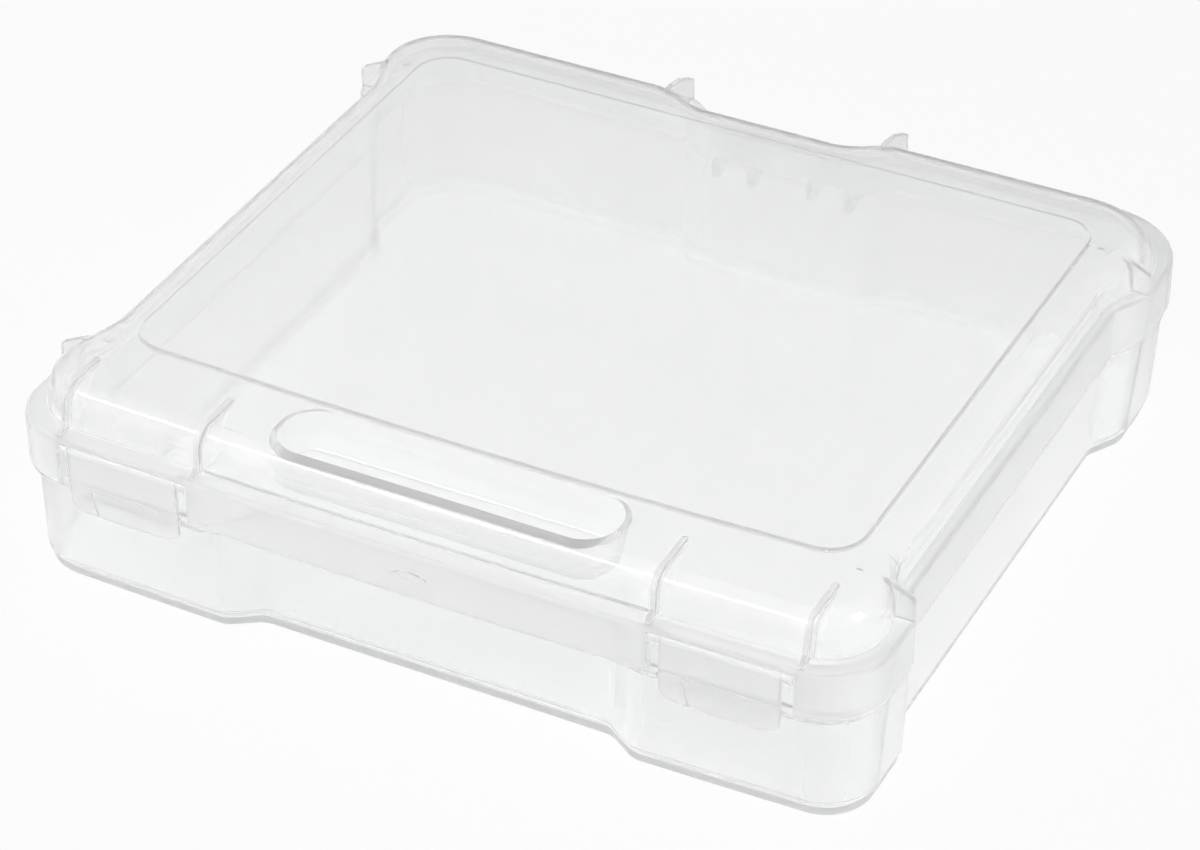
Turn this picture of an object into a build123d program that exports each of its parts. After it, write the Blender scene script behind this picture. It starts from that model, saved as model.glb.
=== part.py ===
from build123d import *
import math
import os

# Clear keeper case: a tray, a domed lid hinged at its back and two latches hung from the lid's front.
# X runs along the front, +Y points to the back, Z = 0 is the face that the case rests on.

# --- overall sizes -----------------------------------------------------------------------
case_width = 355.0  # across the lid skirt at its corners
skirt_front = 167.5  # middle of the handle bar's face, in front of the origin
hinge_reach = 168.0  # back of the hinge, behind the origin
front_bow = 3.0  # how far the middle of the front stands before its corners

# --- levels ------------------------------------------------------------------------------
floor_thickness = 2.0
flange_top = 50.0  # shoulder of the tray that the skirt closes down to
flange_thickness = 2.0
ledge_rise = 20.0  # from the flange to the flat shelf round the foot of the dome
dome_rise = 16.0
panel_height = 1.0  # raised panel on the dome

# --- walls and clearances ------------------------------------------------------------------
wall = 2.0
lid_gap = 0.3  # skirt to flange, and ledge to rim
latch_gap = 0.3  # latch to flange, hook to flange
pin_clearance = 0.08  # radial, round each hinge pin
hinge_side_gap = 0.35
join = 1.0  # how far one feature runs into the next

# --- lid skirt in plan ---------------------------------------------------------------------
skirt_back_inset = 2.6  # back face, in from the back of the hinge
skirt_radius = 26.0  # front corners
skirt_back_radius = 36.0
side_hollow = 8.0  # depth of the long hollow in each side
hollow_front_inset = 62.9  # where the hollow ends, behind the front of the case
hollow_back_inset = 71.0
side_hollow_run = 14.0  # length of the slope into the hollow
back_hollow = 9.0
back_hollow_half = 36.0
back_hollow_run = 11.0
skirt_blend = 9.0

# --- dome in plan ---------------------------------------------------------------------------
ledge_front = 7.9
ledge_side = 4.5
ledge_back = 8.9
dome_radius = 24.0
dome_back_radius = 32.0
dome_hollow_run = 26.0
dome_blend = 25.0
dome_side_lean = 1.8  # how far the side walls lean in over the dome's height
dome_front_lean = 1.8
dome_back_lean = 12.0
shoulder_radius = 9.0
skirt_edge_radius = 1.8

# --- raised panel ----------------------------------------------------------------------------
panel_side_inset = 27.0
panel_front_inset = 46.7
panel_back_inset = 40.9
panel_bow = 3.5
panel_radius = 15.0
panel_edge_radius = 0.8

# --- tray -------------------------------------------------------------------------------------
foot_height = 8.0  # low foot that stands in from the walls
foot_step = 1.6
foot_radius = 3.0  # round edge under the foot
wall_side_inset = 3.5  # walls where they rise from the foot, in from the skirt's faces
wall_front_inset = 5.4
wall_back_inset = 8.9
wall_radius = 21.0
wall_back_radius = 30.0
wall_hollow_front_shift = 1.6
wall_hollow_back_shift = 4.4
wall_notch_depth = 14.5  # front face of the finger notch, behind the handle bar's face
shoulder_side_inset = 1.5
shoulder_front_inset = 5.0
shoulder_back_inset = 4.8
shoulder_notch_depth = 22.2
rim_inset = 3.0  # rim wall inside the skirt's outer face, at the sides
rim_front_inset = 5.6
rim_back_inset = 4.3
flange_back_inset = 3.8
rim_notch_depth = 23.9
swing_room = 5.0  # room in the rim's hollow for the skirt, which swings back as the lid opens
flange_setback = 0.6
notch_flange = 1.5
notch_end_inset = 21.8  # end of the notch, in from the end of the handle bar
notch_run = 14.0
tray_radius = 24.0
tray_back_radius = 34.0
tray_blend = 10.0
floor_radius = 5.0  # round edge of the floor inside

# --- ribs on the ledge, at the sides and the back -------------------------------------------------
rib_thickness = 2.2
rib_setback = 0.4
rib_foot = 4.0  # how deep a rib's root goes into the skirt
rib_rise = 9.0  # height over the ledge at which a rib starts to slope inwards
rib_knee_reach = 11.0
rib_knee_rise = 14.3
rib_reach = 24.0  # from the skirt's face to the rib's point
rib_tip = 1.0  # point of a rib above the dome
rib_corner_radius = 2.5
rib_hollow_gap = 2.0  # between a rib and the start of the hollow

# --- webs over the ends of the latches, half outside and half inside the dome ----------------------
web_stand = 1.0  # ridge outside the dome's wall
web_foot_inset = 2.5
web_foot_rise = 3.0
web_corner_radius = 8.0
web_low_reach = 14.1  # inner edge at the ledge, behind the front of the case
web_top_reach = 34.2  # inner edge at the dome's top

# --- finger well in the lid ----------------------------------------------------------------------
well_end_inset = 3.2  # in from the end of the notch
well_front_inset = 16.4
well_back_inset = 45.9
well_radius = 14.0
well_floor_rise = 1.5  # above the ledge
well_end_slope = 2.0
well_front_slope = 0.5
well_back_slope = 7.5
well_floor_radius = 3.0
shelf_end_inset = 2.8  # shelf over the notch's ends, in from the end of the handle bar
shelf_depth = 28.5

# --- handle bar ------------------------------------------------------------------------------------
bar_lip = 4.4  # inward lip along the bar's lower edge
bar_lip_thickness = 2.0
nub_half = 7.0
nub_height = 3.6
nub_rise = 10.0  # above the flange
nub_stand = 0.5

# --- latches ---------------------------------------------------------------------------------------
latch_inset = 54.5  # middle of a latch, in from the side of the case
latch_half = 23.5
latch_face_inset = 0.9
latch_thickness = 2.2
latch_axis_drop = 2.4  # below the underside of the ledge
latch_barrel = 2.0
latch_drop = 9.0  # lower edge below the flange's top
latch_bottom_bow = 2.2
latch_corner_radius = 4.0
latch_step_rise = 2.5
latch_step = 0.6
latch_recess_rise = 1.0
latch_recess_top_half = 14.8
latch_recess_bottom_half = 11.5
latch_recess_depth = 0.6
latch_side_gap = 4.7
hook_height = 3.0
hook_wall_gap = 0.5
latch_pin_radius = 1.1
latch_pin_length = 2.4
boss_radius = 2.2
boss_end_gap = 0.4
end_wall = 2.2
end_wall_depth = 4.0
end_wall_setback = 0.3  # behind the skirt's face

# --- hinge -----------------------------------------------------------------------------------------
hinge_axis_rise = 0.5  # above the flange's top
knuckle_radius = 4.2
hinge_pin_radius = 2.0
arm_end_inset = 14.0  # middle of an arm, in from the end of the hollow in the back
arm_width = 12.0
ear_thickness = 4.0
ear_depth = 6.0  # ear's root below the flange
arm_root_rise = 12.0
mouth_width = 3.0  # slot in each arm, narrower than the pin that it clips over

# --- derived ---------------------------------------------------------------------------------------
half_width = case_width / 2
skirt_back = hinge_reach - skirt_back_inset
skirt_bottom = flange_top + lid_gap
ledge_top = flange_top + ledge_rise
ledge_bottom = ledge_top - wall
rim_top = ledge_bottom - lid_gap
dome_top = ledge_top + dome_rise
rib_top = dome_top + rib_tip
flange_bottom = flange_top - flange_thickness
side_hollow_front = skirt_front - hollow_front_inset
side_hollow_back = skirt_back - hollow_back_inset
back_skirt_face = skirt_back - back_hollow
rim_half_width = half_width - rim_inset
rim_back = skirt_back - rim_back_inset
shoulder_front = skirt_front - shoulder_front_inset
shoulder_notch = skirt_front - shoulder_notch_depth
latch_x = half_width - latch_inset
latch_face = skirt_front - latch_face_inset
latch_back = -latch_face + latch_thickness
latch_bottom = flange_top - latch_drop
latch_axis_y = -latch_face + latch_barrel
latch_axis_z = ledge_bottom - latch_axis_drop
latch_opening_half = latch_half + latch_side_gap
web_shift = latch_opening_half + rib_thickness / 2
bar_half = latch_x - latch_opening_half
notch_half = bar_half - notch_end_inset
well_half = notch_half - well_end_inset
well_floor = ledge_top + well_floor_rise
hinge_axis_y = hinge_reach - knuckle_radius
hinge_axis_z = flange_top + hinge_axis_rise
arm_x = back_hollow_half - arm_end_inset
nub_z = flange_top + nub_rise


def case_outline(
    half, front, back, radius, back_radius, blend, hollow_front, hollow_back, hollow_run, notch=None
):
    """Plan outline of the case; notch is the front face of the finger notch."""
    corner = -front + front_bow
    side_floor = half - side_hollow
    back_floor = back - back_hollow
    back_mouth = back_hollow_half + back_hollow_run
    notch_mouth = notch_half + notch_run
    with BuildSketch() as outline:
        with BuildLine():
            ThreePointArc((-half, corner), (0, -front), (half, corner))
            Polyline((half, corner), (half, back), (-half, back), (-half, corner))
        make_face()
        fillet(outline.vertices().filter_by(lambda point: point.Y > 0), back_radius)
        offset(amount=-radius, kind=Kind.INTERSECTION, mode=Mode.REPLACE)
        offset(amount=radius, kind=Kind.ARC, mode=Mode.REPLACE)
        for side in (-1, 1):
            with BuildLine():
                Polyline(
                    (side * (half + join), -hollow_front - hollow_run),
                    (side * half, -hollow_front - hollow_run),
                    (side * side_floor, -hollow_front),
                    (side * side_floor, hollow_back),
                    (side * half, hollow_back + hollow_run),
                    (side * (half + join), hollow_back + hollow_run),
                    close=True,
                )
            make_face(mode=Mode.SUBTRACT)
        with BuildLine():
            Polyline(
                (-back_mouth, back + join),
                (-back_mouth, back),
                (-back_hollow_half, back_floor),
                (back_hollow_half, back_floor),
                (back_mouth, back),
                (back_mouth, back + join),
                close=True,
            )
        make_face(mode=Mode.SUBTRACT)
        if notch:
            with BuildLine():
                Polyline(
                    (-notch_mouth, -front - join),
                    (-notch_mouth, -front),
                    (-notch_half, -notch),
                    (notch_half, -notch),
                    (notch_mouth, -front),
                    (notch_mouth, -front - join),
                    close=True,
                )
            make_face(mode=Mode.SUBTRACT)
        offset(amount=-blend, kind=Kind.INTERSECTION, mode=Mode.REPLACE)
        offset(amount=2 * blend, kind=Kind.ARC, mode=Mode.REPLACE)
        offset(amount=-blend, kind=Kind.ARC, mode=Mode.REPLACE)
    return outline.sketch


def bow_drop(x):
    """How far the bowed front of the case falls back at x."""
    radius = (half_width**2 + front_bow**2) / (2 * front_bow)
    return radius - math.sqrt(radius**2 - x**2)


def rib_profile(face):
    """Side view of a rib, from the skirt's face in towards the dome."""
    return [
        (face, ledge_top - rib_foot),
        (face, ledge_top + rib_rise),
        (face - rib_knee_reach, ledge_top + rib_knee_rise),
        (face - rib_reach, rib_top),
        (face - rib_reach, ledge_top - rib_foot),
    ]


def panel_outline():
    """Plan outline of the raised panel."""
    half = half_width - panel_side_inset
    front = skirt_front - panel_front_inset
    back = skirt_back - panel_back_inset
    corner = -front + panel_bow
    with BuildSketch() as outline:
        with BuildLine():
            ThreePointArc((-half, corner), (0, -front), (half, corner))
            Polyline((half, corner), (half, back), (-half, back), (-half, corner))
        make_face()
        offset(amount=-panel_radius, kind=Kind.INTERSECTION, mode=Mode.REPLACE)
        offset(amount=panel_radius, kind=Kind.ARC, mode=Mode.REPLACE)
    return outline.sketch


def skirt_outline(inset):
    return case_outline(
        half_width - inset,
        skirt_front - inset,
        skirt_back - inset,
        skirt_radius - inset,
        skirt_back_radius - inset,
        skirt_blend,
        side_hollow_front,
        side_hollow_back,
        side_hollow_run,
    )


def dome_outline(inset, height_share):
    """Plan of the dome; height_share runs from 0 at the ledge to 1 at the dome's top."""
    return case_outline(
        half_width - ledge_side - inset - dome_side_lean * height_share,
        skirt_front - ledge_front - inset - dome_front_lean * height_share,
        skirt_back - ledge_back - inset - dome_back_lean * height_share,
        dome_radius - inset,
        dome_back_radius - inset,
        dome_blend,
        side_hollow_front,
        side_hollow_back,
        dome_hollow_run,
    )


def wall_outline(inset):
    return case_outline(
        half_width - wall_side_inset - inset,
        skirt_front - wall_front_inset - inset,
        skirt_back - wall_back_inset - inset,
        wall_radius - inset,
        wall_back_radius - inset,
        tray_blend,
        side_hollow_front - wall_hollow_front_shift,
        side_hollow_back - wall_hollow_back_shift,
        side_hollow_run,
        notch=skirt_front - wall_notch_depth - inset,
    )


def shoulder_outline():
    return case_outline(
        half_width - shoulder_side_inset,
        shoulder_front,
        skirt_back - shoulder_back_inset,
        tray_radius,
        tray_back_radius,
        tray_blend,
        side_hollow_front,
        side_hollow_back,
        side_hollow_run,
        notch=shoulder_notch,
    )


def rim_outline(inset):
    return case_outline(
        rim_half_width - inset,
        skirt_front - rim_front_inset - inset,
        rim_back - inset,
        tray_radius - inset,
        tray_back_radius - inset,
        tray_blend,
        side_hollow_front,
        side_hollow_back + swing_room,
        side_hollow_run,
        notch=skirt_front - rim_notch_depth - inset,
    )


def flange_outline():
    return case_outline(
        half_width - flange_setback,
        skirt_front - flange_setback,
        skirt_back - flange_back_inset,
        skirt_radius - flange_setback,
        tray_back_radius,
        tray_blend,
        side_hollow_front,
        side_hollow_back,
        side_hollow_run,
        notch=shoulder_notch + notch_flange,
    )


def well_section(grow, depth_share):
    """Plan of the finger well; depth_share runs from 0 at the dome's top to 1 at its floor."""
    half = well_half - well_end_slope * depth_share + grow
    front = -skirt_front + well_front_inset + well_front_slope * depth_share - grow
    back = -skirt_front + well_back_inset - well_back_slope * depth_share + grow
    with BuildSketch() as section:
        with Locations((0, (front + back) / 2)):
            RectangleRounded(2 * half, back - front, min(well_radius, (back - front) / 2 - join))
    return section.sketch


# === tray ==========================================================================================
with BuildPart() as tray_space:
    with BuildSketch(Plane.XY.offset(floor_thickness)):
        add(wall_outline(foot_step + wall))
    with BuildSketch(Plane.XY.offset(rim_top + join)):
        add(rim_outline(wall))
    loft(ruled=True)
    fillet(tray_space.faces().sort_by(Axis.Z)[0].edges(), floor_radius)

with BuildPart() as base_tray:
    with BuildSketch(Plane.XY.offset(foot_height)):
        add(wall_outline(0))
    with BuildSketch(Plane.XY.offset(flange_bottom)):
        add(shoulder_outline())
    loft(ruled=True)
    with BuildSketch():
        add(wall_outline(foot_step))
    extrude(amount=foot_height + join)
    fillet(base_tray.faces().sort_by(Axis.Z)[0].edges(), foot_radius)
    with BuildSketch(Plane.XY.offset(flange_bottom)):
        add(flange_outline())
    extrude(amount=flange_thickness)
    with BuildSketch(Plane.XY.offset(flange_bottom)):
        add(rim_outline(0))
    extrude(amount=rim_top - flange_bottom)
    # the flange stands back behind each latch
    latch_slot_half = latch_half + join
    latch_slot_back = latch_back + latch_gap
    with BuildSketch(Plane.XY.offset(flange_bottom)):
        with Locations((latch_x, latch_slot_back), (-latch_x, latch_slot_back)):
            Rectangle(2 * latch_slot_half, skirt_front, align=(Align.CENTER, Align.MAX))
    extrude(amount=rim_top, mode=Mode.SUBTRACT)
    # hinge ears with their moulded pins
    ear_shift = arm_width / 2 + hinge_side_gap
    for side in (-1, 1):
        for hand in (-1, 1):
            ear_start = side * arm_x + hand * ear_shift
            with BuildSketch(Plane.YZ.offset(ear_start)):
                with Locations((hinge_axis_y, hinge_axis_z)):
                    Circle(knuckle_radius)
                with BuildLine():
                    Polyline(
                        (rim_back - back_hollow - wall, flange_bottom - ear_depth),
                        (hinge_axis_y, hinge_axis_z - knuckle_radius),
                        (hinge_axis_y, flange_top),
                        (rim_back - back_hollow - wall, flange_top),
                        close=True,
                    )
                make_face()
            extrude(amount=hand * ear_thickness)
        with BuildSketch(Plane.YZ.offset(side * arm_x)):
            with Locations((hinge_axis_y, hinge_axis_z)):
                Circle(hinge_pin_radius)
        extrude(amount=ear_shift + join, both=True)
    add(tray_space.part, mode=Mode.SUBTRACT)

# === lid ===========================================================================================
with BuildPart() as well:
    with BuildSketch(Plane.XY.offset(dome_top + join)):
        add(well_section(0, 0))
    with BuildSketch(Plane.XY.offset(well_floor)):
        add(well_section(0, 1))
    loft(ruled=True)
    fillet(well.faces().sort_by(Axis.Z)[0].edges(), well_floor_radius)

with BuildPart() as well_jacket:
    with BuildSketch(Plane.XY.offset(dome_top + join)):
        add(well_section(wall, 0))
    with BuildSketch(Plane.XY.offset(well_floor - wall)):
        add(well_section(wall, 1))
    loft(ruled=True)

with BuildPart() as lid_space:
    with BuildSketch(Plane.XY.offset(ledge_bottom)):
        add(dome_outline(wall, 0))
    with BuildSketch(Plane.XY.offset(dome_top - wall)):
        add(dome_outline(wall, 1))
    loft(ruled=True)
    fillet(lid_space.faces().sort_by(Axis.Z)[-1].edges(), shoulder_radius - wall)
    # the underside rises under the raised panel
    with BuildSketch(Plane.XY.offset(dome_top - wall - join)):
        add(panel_outline())
    extrude(amount=join + panel_height)
    add(well_jacket.part, mode=Mode.SUBTRACT)
    # inner halves of the webs
    web_low = -skirt_front + web_low_reach
    web_high = -skirt_front + web_top_reach
    for side in (-1, 1):
        for hand in (-1, 1):
            with BuildSketch(Plane.YZ.offset(side * (latch_x + hand * web_shift))):
                with BuildLine():
                    Polyline(
                        (-skirt_front, ledge_bottom - join),
                        (web_low, ledge_bottom - join),
                        (web_low, ledge_bottom),
                        (web_high, dome_top),
                        (-skirt_front, dome_top),
                        close=True,
                    )
                make_face()
            extrude(amount=rib_thickness / 2, both=True, mode=Mode.SUBTRACT)
    # shelf that closes the finger notch at both ends of the well
    with BuildSketch(Plane.XY.offset(ledge_bottom - join)):
        with Locations((0, -skirt_front + shelf_depth)):
            Rectangle(2 * (bar_half - shelf_end_inset), skirt_front, align=(Align.CENTER, Align.MAX))
    extrude(amount=wall + join, mode=Mode.SUBTRACT)
    with BuildSketch(Plane.XY.offset(skirt_bottom - join)):
        add(skirt_outline(wall))
    extrude(amount=ledge_bottom - skirt_bottom + join)

with BuildPart() as lid:
    with BuildSketch(Plane.XY.offset(skirt_bottom)):
        add(skirt_outline(0))
    extrude(amount=ledge_top - skirt_bottom)
    fillet(lid.faces().sort_by(Axis.Z)[-1].edges(), skirt_edge_radius)
    with BuildSketch(Plane.XY.offset(ledge_bottom)):
        add(dome_outline(0, 0))
    with BuildSketch(Plane.XY.offset(dome_top)):
        add(dome_outline(0, 1))
    loft(ruled=True)
    dome_face = lid.faces().sort_by(Axis.Z)[-1]
    fillet(dome_face.edges(), shoulder_radius)
    # raised panel
    with BuildSketch(Plane.XY.offset(dome_top - join)):
        add(panel_outline())
    extrude(amount=join + panel_height)
    fillet(lid.faces().sort_by(Axis.Z)[-1].edges(), panel_edge_radius)
    # ribs on the ledge
    back_rib_x = back_hollow_half + back_hollow_run + rib_hollow_gap
    back_profile = rib_profile(skirt_back - rib_setback)
    for x in (-back_rib_x, back_rib_x):
        with BuildSketch(Plane.YZ.offset(x)):
            with BuildLine():
                FilletPolyline(back_profile, radius=rib_corner_radius, close=True)
            make_face()
        extrude(amount=rib_thickness / 2, both=True)
    side_rib_front = side_hollow_front + side_hollow_run + rib_hollow_gap
    side_rib_back = side_hollow_back + side_hollow_run + rib_hollow_gap
    side_profile = rib_profile(half_width - rib_setback)
    for y in (-side_rib_front, side_rib_back):
        with BuildSketch(Plane.XZ.offset(-y)):
            with BuildLine():
                FilletPolyline(side_profile, radius=rib_corner_radius, close=True)
            make_face()
            mirror(about=Plane.YZ)
        extrude(amount=rib_thickness / 2, both=True)
    # outer halves of the webs: low ridges that follow the dome
    corner_step = web_corner_radius * (1 - math.sqrt(1 / 2))
    for side in (-1, 1):
        for hand in (-1, 1):
            web_x = side * (latch_x + hand * web_shift)
            web_foot = -skirt_front + bow_drop(web_x) + web_foot_inset
            web_face = -skirt_front + bow_drop(web_x) + ledge_front - web_stand
            with BuildSketch(Plane.YZ.offset(web_x)):
                with BuildLine():
                    Polyline(
                        (web_face, rib_top - web_corner_radius),
                        (web_face, ledge_top + web_foot_rise),
                        (web_foot, ledge_top),
                        (web_foot, ledge_top - rib_foot),
                        (web_high, ledge_top - rib_foot),
                        (web_high, rib_top),
                        (web_face + web_corner_radius, rib_top),
                    )
                    ThreePointArc(
                        (web_face + web_corner_radius, rib_top),
                        (web_face + corner_step, rib_top - corner_step),
                        (web_face, rib_top - web_corner_radius),
                    )
                make_face()
            extrude(amount=rib_thickness / 2, both=True)
    add(lid_space.part, mode=Mode.SUBTRACT)
    add(well.part, mode=Mode.SUBTRACT)
    # the skirt is open at each latch
    with BuildSketch(Plane.XY.offset(skirt_bottom - join)):
        with Locations((latch_x, -skirt_front - join), (-latch_x, -skirt_front - join)):
            Rectangle(2 * latch_opening_half, 2 * end_wall_depth, align=(Align.CENTER, Align.MIN))
    extrude(amount=ledge_bottom - skirt_bottom + join, mode=Mode.SUBTRACT)
    # end walls of the skirt, with the bosses that carry the latch pins
    end_wall_height = ledge_bottom + join - skirt_bottom
    boss_web_height = ledge_bottom + join - latch_axis_z
    for side in (-1, 1):
        for hand in (-1, 1):
            end_x = side * (latch_x + hand * latch_opening_half)
            outward = side * hand
            end_y = -skirt_front + bow_drop(end_x)
            with BuildSketch(Plane.YZ.offset(end_x)):
                with Locations((end_y + end_wall_setback, skirt_bottom)):
                    Rectangle(end_wall_depth, end_wall_height, align=(Align.MIN, Align.MIN))
            extrude(amount=outward * end_wall)
            with BuildSketch(Plane.YZ.offset(end_x)):
                with Locations((latch_axis_y, latch_axis_z)):
                    Circle(boss_radius)
                    Rectangle(boss_radius, boss_web_height, align=(Align.MIN, Align.MIN))
            extrude(amount=-outward * (latch_side_gap - boss_end_gap))
            bore_mouth = end_x - outward * (latch_side_gap - boss_end_gap)
            with BuildSketch(Plane.YZ.offset(bore_mouth)):
                with Locations((latch_axis_y, latch_axis_z)):
                    Circle(latch_pin_radius + pin_clearance)
            extrude(amount=outward * latch_pin_length, mode=Mode.SUBTRACT)
    # inward lip along the lower edge of the handle bar
    with BuildSketch(Plane.XY.offset(skirt_bottom)):
        add(skirt_outline(0))
        add(skirt_outline(bar_lip), mode=Mode.SUBTRACT)
        with Locations((0, -skirt_front)):
            Rectangle(2 * bar_half, skirt_front, mode=Mode.INTERSECT)
    extrude(amount=bar_lip_thickness)
    # small lens-shaped nub in the middle of the bar's face
    with BuildSketch(Plane.XZ.offset(skirt_front - wall / 2)):
        with BuildLine():
            ThreePointArc((-nub_half, nub_z), (0, nub_z + nub_height / 2), (nub_half, nub_z))
            ThreePointArc((-nub_half, nub_z), (0, nub_z - nub_height / 2), (nub_half, nub_z))
        make_face()
    extrude(amount=wall / 2 + nub_stand)
    # hinge arms that clip over the tray's pins
    for side in (-1, 1):
        with BuildSketch(Plane.YZ.offset(side * arm_x)):
            with BuildLine():
                Polyline(
                    (back_skirt_face - join, skirt_bottom),
                    (hinge_axis_y, skirt_bottom),
                    (hinge_axis_y, hinge_axis_z + knuckle_radius),
                    (back_skirt_face - join, flange_top + arm_root_rise),
                    close=True,
                )
            make_face()
            with Locations((hinge_axis_y, hinge_axis_z)):
                Circle(knuckle_radius)
                Circle(hinge_pin_radius + pin_clearance, mode=Mode.SUBTRACT)
                Rectangle(
                    2 * knuckle_radius,
                    mouth_width,
                    align=(Align.MIN, Align.CENTER),
                    mode=Mode.SUBTRACT,
                )
        extrude(amount=arm_width / 2, both=True)

# === latches =======================================================================================
latch_plane = Plane(origin=(latch_x, 0, 0), x_dir=(1, 0, 0), z_dir=(0, -1, 0))
hook_top = flange_bottom - latch_gap
hook_tip = -shoulder_front + bow_drop(latch_x - latch_half) - hook_wall_gap

with BuildPart() as latch_right:
    with BuildSketch(latch_plane.offset(-latch_back)):
        with BuildLine():
            Polyline(
                (-latch_half, latch_bottom),
                (-latch_half, latch_axis_z),
                (latch_half, latch_axis_z),
                (latch_half, latch_bottom),
            )
            ThreePointArc(
                (-latch_half, latch_bottom),
                (0, latch_bottom - latch_bottom_bow),
                (latch_half, latch_bottom),
            )
        make_face()
    extrude(amount=latch_thickness)
    fillet(latch_right.edges().filter_by(Axis.Y).group_by(Axis.Z)[0], latch_corner_radius)
    with BuildSketch(Plane.YZ.offset(latch_x)):
        with Locations((latch_axis_y, latch_axis_z)):
            Circle(latch_barrel)
    extrude(amount=latch_half, both=True)
    # the lower half of the face is stepped back, with a shallow recess for a fingertip
    with BuildSketch(latch_plane.offset(latch_face - latch_step)):
        with Locations((0, flange_top + latch_step_rise)):
            Rectangle(2 * latch_half, flange_top, align=(Align.CENTER, Align.MAX))
    extrude(amount=latch_step, mode=Mode.SUBTRACT)
    with BuildSketch(latch_plane.offset(latch_face - latch_step - latch_recess_depth)):
        with BuildLine():
            Polyline(
                (-latch_recess_top_half, flange_top + latch_recess_rise),
                (latch_recess_top_half, flange_top + latch_recess_rise),
                (latch_recess_bottom_half, latch_bottom - latch_corner_radius),
                (-latch_recess_bottom_half, latch_bottom - latch_corner_radius),
                close=True,
            )
        make_face()
    extrude(amount=latch_recess_depth, mode=Mode.SUBTRACT)
    # hook under the tray's flange
    with BuildSketch(Plane.YZ.offset(latch_x)):
        with BuildLine():
            Polyline(
                (latch_back - join, hook_top),
                (hook_tip, hook_top),
                (hook_tip, hook_top - hook_height / 2),
                (latch_back - join, hook_top - hook_height),
                close=True,
            )
        make_face()
    extrude(amount=latch_half - latch_corner_radius, both=True)
    # hinge pins
    with BuildSketch(Plane.YZ.offset(latch_x)):
        with Locations((latch_axis_y, latch_axis_z)):
            Circle(latch_pin_radius)
    extrude(amount=latch_half + latch_pin_length, both=True)

with BuildPart() as latch_left:
    add(latch_right.part.mirror(Plane.YZ))

# === files =========================================================================================
base_tray.part.label = "base_tray"
lid.part.label = "lid"
latch_left.part.label = "latch_left"
latch_right.part.label = "latch_right"
os.makedirs("parts", exist_ok=True)
export_step(base_tray.part, "parts/base_tray.step")
export_step(lid.part, "parts/lid.step")
export_step(latch_left.part, "parts/latch_left.step")
export_step(latch_right.part, "parts/latch_right.step")
for piece in (base_tray, lid, latch_left, latch_right):
    box = piece.part.bounding_box()
    print(piece.part.label, piece.part.is_valid, len(piece.part.solids()), round(piece.part.volume), box)
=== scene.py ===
import bpy
import bmesh
import math
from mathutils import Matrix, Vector

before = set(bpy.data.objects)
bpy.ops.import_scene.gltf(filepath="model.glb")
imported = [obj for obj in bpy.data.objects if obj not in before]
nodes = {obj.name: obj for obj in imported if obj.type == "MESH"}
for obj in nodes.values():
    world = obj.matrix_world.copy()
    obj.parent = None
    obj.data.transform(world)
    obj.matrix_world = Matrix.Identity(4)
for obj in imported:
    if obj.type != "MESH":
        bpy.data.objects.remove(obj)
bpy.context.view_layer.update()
print("frame loaded:", ", ".join(sorted(nodes)))

mm = 0.001  # metres in a millimetre


def linearColour(hexText, alpha=1.0):  # sRGB hex to Blender's linear values
    parts = [int(hexText[i:i + 2], 16) / 255 for i in (1, 3, 5)]
    return tuple(c / 12.92 if c <= 0.04045 else ((c + 0.055) / 1.055) ** 2.4 for c in parts) + (alpha,)


def addNode(tree, kind, settings=None, links=None):  # links: {input: output socket or plain value}
    node = tree.nodes.new(kind)
    for name, value in (settings or {}).items():
        setattr(node, name, value)
    for name, value in (links or {}).items():
        if isinstance(value, bpy.types.NodeSocket):
            tree.links.new(value, node.inputs[name])
        else:
            node.inputs[name].default_value = value
    return node


def addMath(tree, operation, first, second):
    return addNode(tree, "ShaderNodeMath", {"operation": operation}, {0: first, 1: second}).outputs[0]


def addRamp(tree, value, low, high, start=0.0, end=1.0):  # value from low to high becomes start to end
    limits = {"Value": value, "From Min": low, "From Max": high, "To Min": start, "To Max": end}
    return addNode(tree, "ShaderNodeMapRange", None, limits).outputs[0]


def addNoise(tree, place, sizeMm, detail):
    settings = {"Vector": place, "Scale": 1 / (sizeMm * mm), "Detail": detail}
    return addNode(tree, "ShaderNodeTexNoise", None, settings).outputs[0]


def newMaterial(name):
    material = bpy.data.materials.new(name)
    material.use_nodes = True
    material.node_tree.nodes.clear()
    return material, material.node_tree


def setMaterial(piece, material):
    piece.data.materials.clear()
    piece.data.materials.append(material)


plastic = {
    "ior": 1.49,    # polypropylene homopolymer
    "flowMm": 45.0,    # slow waves that the cooling melt leaves
    "flowDepthMm": 0.05,
    "flowDetail": 2.0,
    "grainMm": 1.2,    # fine haze, drawn coarser than the real crystallites so that it shows
    "grainDetail": 3.0,
    "grainRange": (0.3, 0.7),    # part of the noise that spreads over a piece's roughness
    "scratchMm": 2.5,    # spacing of the handling marks
    "scratchDetail": 2.0,
    "scratchStretch": 0.03,    # width of a mark against its length
    "scratchTurns": (0.4, 1.9),    # radians, two directions that cross
    "scratchMark": (0.66, 0.72),    # part of the noise that becomes a mark
    "edgeSamples": 6,
    "edgeBend": (0.99, 0.85),    # cosine of an edge's turn, where its haze starts and where it is full
    "shadowTint": "#F3F4F4",    # light that a face lets through to the floor
}


def scratches(tree, place):  # two sets of long faint lines that cross
    total = None
    stretch = (1 / plastic["scratchStretch"], 1, 1)
    for turn in plastic["scratchTurns"]:
        turned = addNode(tree, "ShaderNodeMapping", {"vector_type": "TEXTURE"},
                         {"Vector": place, "Rotation": (0, 0, turn), "Scale": stretch})
        streaks = addNoise(tree, turned.outputs[0], plastic["scratchMm"], plastic["scratchDetail"])
        mark = addRamp(tree, streaks, *plastic["scratchMark"])
        total = mark if total is None else addMath(tree, "MAXIMUM", total, mark)
    return total


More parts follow.
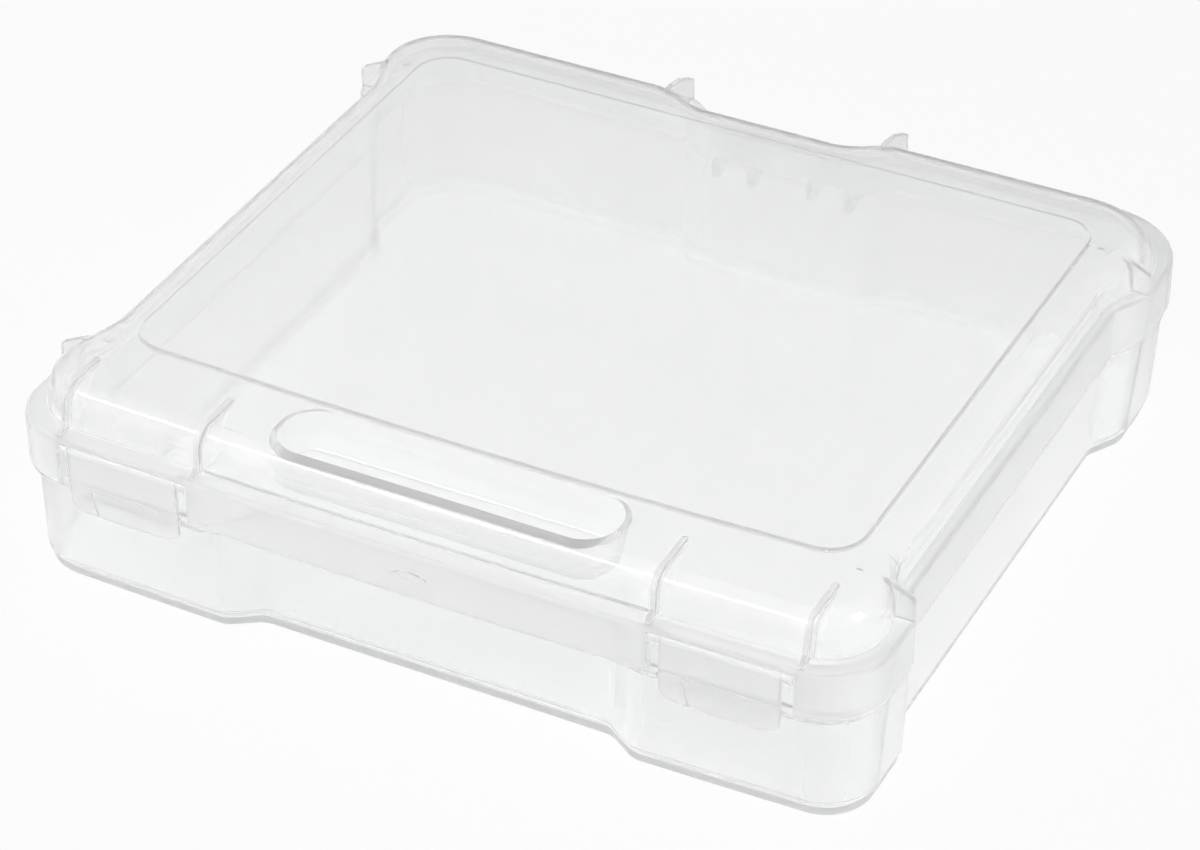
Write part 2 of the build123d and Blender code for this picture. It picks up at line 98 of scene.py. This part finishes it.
def clearPolypropylene(name, look):
    # injection-moulded clear polypropylene: glossy, a little milky, and pale where it is seen edge on
    material, tree = newMaterial(name)
    place = addNode(tree, "ShaderNodeTexCoord").outputs["Object"]
    grain = addNoise(tree, place, plastic["grainMm"], plastic["grainDetail"])
    rough = addRamp(tree, grain, *plastic["grainRange"], *look["roughness"])
    marks = addMath(tree, "MULTIPLY", scratches(tree, place), look["scratches"])
    rough = addMath(tree, "ADD", rough, marks)
    if "rubbed" in look:
        height = addNode(tree, "ShaderNodeSeparateXYZ", None, {0: place}).outputs["Z"]
        rubbed = addRamp(tree, height, look["rubbedBelowMm"] * mm, 0.0, 0.0, look["rubbed"])
        rough = addMath(tree, "ADD", rough, rubbed)
    edge = addNode(tree, "ShaderNodeBevel", {"samples": plastic["edgeSamples"]},
                   {"Radius": look["edgeMm"] * mm})
    # the rounded edges scatter light, so they are drawn as pale lines
    facing = addNode(tree, "ShaderNodeNewGeometry").outputs["Normal"]
    bend = addNode(tree, "ShaderNodeVectorMath", {"operation": "DOT_PRODUCT"},
                   {0: edge.outputs[0], 1: facing}).outputs["Value"]
    haze = addRamp(tree, bend, *plastic["edgeBend"], 0.0, look["edgeHaze"])
    rough = addMath(tree, "ADD", rough, haze)
    flow = addNoise(tree, place, plastic["flowMm"], plastic["flowDetail"])
    bump = addNode(tree, "ShaderNodeBump", None,
                   {"Height": flow, "Strength": 1.0, "Distance": plastic["flowDepthMm"] * mm,
                    "Normal": edge.outputs[0]})
    body = addNode(tree, "ShaderNodeBsdfPrincipled", None,
                   {"Base Color": linearColour(look["colour"]), "Roughness": rough, "IOR": plastic["ior"],
                    "Transmission Weight": look["clear"], "Normal": bump.outputs[0]})
    passing = addNode(tree, "ShaderNodeBsdfTransparent", None, {"Color": linearColour(plastic["shadowTint"])})
    rays = addNode(tree, "ShaderNodeLightPath")
    mix = addNode(tree, "ShaderNodeMixShader", None,
                  {0: rays.outputs["Is Shadow Ray"], 1: body.outputs[0], 2: passing.outputs[0]})
    addNode(tree, "ShaderNodeOutputMaterial", None, {"Surface": mix.outputs[0]})
    return material


trayLook = {
    "colour": "#FDFDFD",
    "clear": 0.74,    # the rest is milky
    "roughness": (0.07, 0.10),
    "scratches": 0.05,    # roughness that a mark adds
    "edgeMm": 0.6,    # rounding of the moulded edges
    "edgeHaze": 0.30,    # roughness that an edge adds
    "rubbed": 0.2,    # roughness that the rubbed foot adds
    "rubbedBelowMm": 1.5,
}
trayPlastic = clearPolypropylene("clear polypropylene, moulded tray", trayLook)
setMaterial(nodes["base_tray"], trayPlastic)

domeLook = {
    "colour": "#FDFDFD",
    "clear": 0.76,
    "roughness": (0.045, 0.07),
    "scratches": 0.04,
    "edgeMm": 0.9,
    "edgeHaze": 0.18,
}
skirtLook = {
    "colour": "#FDFDFD",
    "clear": 0.60,
    "roughness": (0.09, 0.15),
    "scratches": 0.03,
    "edgeMm": 0.7,
    "edgeHaze": 0.35,
    "topMm": 70.1,    # flat ledge round the foot of the dome
    "latchMm": 123.0,    # middle of a latch, from the middle of the case
    "websMm": (28.1, 30.5),    # the thin webs to either side of a latch, from its middle
}
setMaterial(nodes["lid"], clearPolypropylene("clear polypropylene, polished dome", domeLook))
lidMesh = nodes["lid"].data
lidMesh.materials.append(clearPolypropylene("clear polypropylene, milky satin skirt", skirtLook))


def inWeb(corner):  # corner in millimetres
    nearest, farthest = skirtLook["websMm"]
    return corner.y < 0 and nearest < abs(abs(corner.x) - skirtLook["latchMm"]) < farthest


for face in lidMesh.polygons:
    corners = [lidMesh.vertices[i].co / mm for i in face.vertices]
    face.material_index = int(all(map(inWeb, corners)) or face.center.z < skirtLook["topMm"] * mm)

latchLook = {
    "colour": "#FDFDFD",
    "clear": 0.60,
    "roughness": (0.08, 0.14),
    "scratches": 0.06,
    "edgeMm": 0.5,
    "edgeHaze": 0.35,
}
latchPlastic = clearPolypropylene("clear polypropylene, satin latch", latchLook)
for name in ("latch_left", "latch_right"):
    setMaterial(nodes[name], latchPlastic)
print("materials made")

view = {
    "place": (0.5918, -1.1763, 0.9603),
    "azimuth": 27.03,    # degrees to the right of the front
    "elevation": 35.52,
    "lens": 122.8,
    "sensor": 36.0,
    "farEnd": 100.0,
}


def addCamera():
    camera = bpy.data.objects.new("camera", bpy.data.cameras.new("camera"))
    bpy.context.scene.collection.objects.link(camera)
    camera.location = view["place"]
    camera.rotation_euler = (math.radians(90 - view["elevation"]), 0, math.radians(view["azimuth"]))
    camera.data.sensor_fit = "HORIZONTAL"
    camera.data.sensor_width = view["sensor"]
    camera.data.lens = view["lens"]
    camera.data.clip_end = view["farEnd"]
    bpy.context.scene.camera = camera


studio = {
    "floorSize": 12.0,
    "floorDrop": 0.2,    # mm below the case
    "floorGlow": 0.9,    # the rest keeps the case's shadow
    "white": "#FFFFFF",
    "surround": "#767676",
    "backdropShares": (1.0, 0.6),    # white seen through the clear plastic, and in its gloss
    "floorShares": (0.35, 0.5),
    "lamps": [    # name, place, width and height, watts, and whether the gloss mirrors it
        ("softbox over the top", (0.1, 0.5, 2.2), (2.0, 1.2), 2.0, True),
        ("softbox at the left", (-1.7, -0.7, 0.85), (0.5, 1.5), 9.5, False),
        ("softbox at the right", (1.9, -0.1, 0.75), (0.6, 1.3), 12.0, False),
        ("strip over the front", (-0.75, -1.1, 1.5), (1.8, 0.26), 9.0, True),
        ("strip at the front", (0.4, -1.9, 0.8), (1.6, 0.6), 6.0, False),
    ],
}


def whiteShare(tree, shares):  # 1 where the camera looks straight at it
    rays = addNode(tree, "ShaderNodeLightPath").outputs
    through = addMath(tree, "MULTIPLY", rays["Is Transmission Ray"], shares[0])
    mirrored = addMath(tree, "MULTIPLY", rays["Is Glossy Ray"], shares[1])
    return addMath(tree, "MAXIMUM", rays["Is Camera Ray"], addMath(tree, "MAXIMUM", through, mirrored))


def addFloor():
    mesh = bpy.data.meshes.new("floor")
    shape = bmesh.new()
    bmesh.ops.create_grid(shape, x_segments=1, y_segments=1, size=studio["floorSize"] / 2)
    bmesh.ops.translate(shape, verts=shape.verts, vec=(0, 0, -studio["floorDrop"] * mm))
    shape.to_mesh(mesh)
    shape.free()
    floor = bpy.data.objects.new("floor", mesh)
    bpy.context.scene.collection.objects.link(floor)
    material, tree = newMaterial("matt white studio floor")
    white = linearColour(studio["white"])
    paint = addNode(tree, "ShaderNodeBsdfDiffuse", None, {"Color": white})
    glow = addNode(tree, "ShaderNodeEmission", None, {"Color": white, "Strength": 1.0})
    share = addMath(tree, "MULTIPLY", whiteShare(tree, studio["floorShares"]), studio["floorGlow"])
    mix = addNode(tree, "ShaderNodeMixShader", None, {0: share, 1: paint.outputs[0], 2: glow.outputs[0]})
    addNode(tree, "ShaderNodeOutputMaterial", None, {"Surface": mix.outputs[0]})
    setMaterial(floor, material)


def addWorld():
    world = bpy.data.worlds.new("studio")
    bpy.context.scene.world = world
    world.use_nodes = True
    tree = world.node_tree
    tree.nodes.clear()
    around, white = [addNode(tree, "ShaderNodeBackground", None,
                             {"Color": linearColour(studio[key]), "Strength": 1.0}).outputs[0]
                     for key in ("surround", "white")]
    share = whiteShare(tree, studio["backdropShares"])
    mix = addNode(tree, "ShaderNodeMixShader", None, {0: share, 1: around, 2: white})
    addNode(tree, "ShaderNodeOutputWorld", None, {"Surface": mix.outputs[0]})


def addLamp(name, place, size, watts, mirrored):  # a soft lamp that faces the case
    lamp = bpy.data.objects.new(name, bpy.data.lights.new(name, "AREA"))
    bpy.context.scene.collection.objects.link(lamp)
    lamp.data.shape = "RECTANGLE"
    lamp.data.size, lamp.data.size_y = size
    lamp.data.energy = watts
    lamp.visible_glossy = mirrored
    lamp.location = place
    lamp.rotation_euler = (-Vector(place)).to_track_quat("-Z", "Y").to_euler()


addCamera()
addFloor()
addWorld()
for lamp in studio["lamps"]:
    addLamp(*lamp)
bpy.context.scene.view_settings.view_transform = "Standard"
print("studio set")
